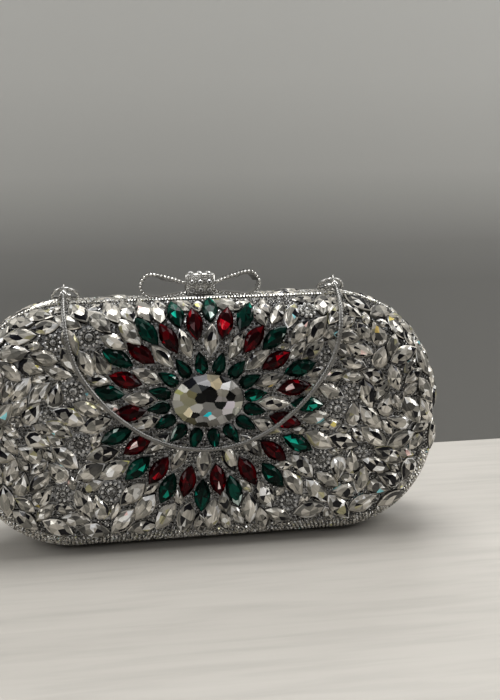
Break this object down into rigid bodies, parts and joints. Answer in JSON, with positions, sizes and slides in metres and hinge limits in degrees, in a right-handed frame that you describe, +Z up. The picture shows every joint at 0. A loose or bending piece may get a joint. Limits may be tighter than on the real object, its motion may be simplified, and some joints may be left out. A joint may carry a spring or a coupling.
{
  "type": "crystal box clutch",
  "caption": "Hard-shell evening clutch with stone-set domed halves hinged at the base, a sprung bow clasp on top and a snake chain on rings in lugs.",
  "frame": {"origin": "middle of the foot on the ground, centred over the case without the chain", "axes": "+X to the right along the case, -Y out of the front with the starburst, +Z up"},
  "size_m": [0.2084, 0.0598, 0.1177],
  "materials": {
    "nickel": "bright nickel plate",
    "steel": "drawn wire",
    "crystal": "foil-backed faceted glass",
    "red_glass": "foil-backed faceted glass",
    "green_glass": "foil-backed faceted glass",
    "shell": "moulded",
    "lining": "satin"
  },
  "bodies": {
    "front_half": {"front_shell": "shell", "front_stone_bed": "crystal", "front_frame": "nickel", "front_lining": "lining", "left_hinge_front_leaf": "nickel", "right_hinge_front_leaf": "nickel", "left_hinge_pin": "steel", "right_hinge_pin": "steel", "clasp_bracket": "nickel", "clasp_pivot_pin": "steel", "clasp_spring": "steel", "left_lug": "nickel", "right_lug": "nickel", "centre_crystal": "crystal", "red_marquise_01": "red_glass", "red_marquise_02": "red_glass", "red_marquise_03": "red_glass", "red_marquise_04": "red_glass", "red_marquise_05": "red_glass", "red_marquise_06": "red_glass", "red_marquise_07": "red_glass", "red_marquise_08": "red_glass", "red_marquise_09": "red_glass", "red_marquise_10": "red_glass", "red_marquise_11": "red_glass", "red_marquise_12": "red_glass", "red_marquise_13": "red_glass", "red_marquise_14": "red_glass", "red_marquise_15": "red_glass", "red_marquise_16": "red_glass", "green_marquise_01": "green_glass", "green_marquise_02": "green_glass", "green_marquise_03": "green_glass", "green_marquise_04": "green_glass", "green_marquise_05": "green_glass", "green_marquise_06": "green_glass", "green_marquise_07": "green_glass", "green_marquise_08": "green_glass", "green_marquise_09": "green_glass", "green_marquise_10": "green_glass", "green_marquise_11": "green_glass", "green_marquise_12": "green_glass", "green_marquise_13": "green_glass", "green_marquise_14": "green_glass", "green_marquise_15": "green_glass", "green_marquise_16": "green_glass"},
    "back_half": {"back_shell": "shell", "back_stone_bed": "crystal", "back_frame": "nickel", "back_lining": "lining", "left_hinge_back_leaf": "nickel", "right_hinge_back_leaf": "nickel", "strike_plate": "nickel"},
    "clasp": {"clasp_lever": "nickel", "bow": "nickel"},
    "rings": {"left_ring": "nickel", "right_ring": "nickel"},
    "handle": {"chain": "nickel", "left_end_cap": "nickel", "right_end_cap": "nickel"}
  },
  "joints": [
    {"name": "case_hinge", "type": "hinge", "parent": "front_half", "child": "back_half", "pos_m": [0, 0.00175, 0.0023], "axis": [-1, 0, 0], "range_deg": [0, 80]},
    {"name": "clasp_lift", "type": "hinge", "parent": "front_half", "child": "clasp", "pos_m": [0, -0.00325, 0.0985], "axis": [-1, 0, 0], "range_deg": [0, 12], "stiffness_Nm_per_rad": 0.05, "springref_deg": -11.46, "deforming": ["clasp_spring"]},
    {"name": "ring_swing", "type": "hinge", "parent": "front_half", "child": "rings", "pos_m": [0, -0.00245, 0.1089], "axis": [-1, 0, 0], "range_deg": [0, 110]},
    {"name": "chain_swing", "type": "hinge", "parent": "rings", "child": "handle", "pos_m": [0, -0.00818, 0.11292], "axis": [-1, 0, 0], "range_deg": [0, 60]}
  ]
}
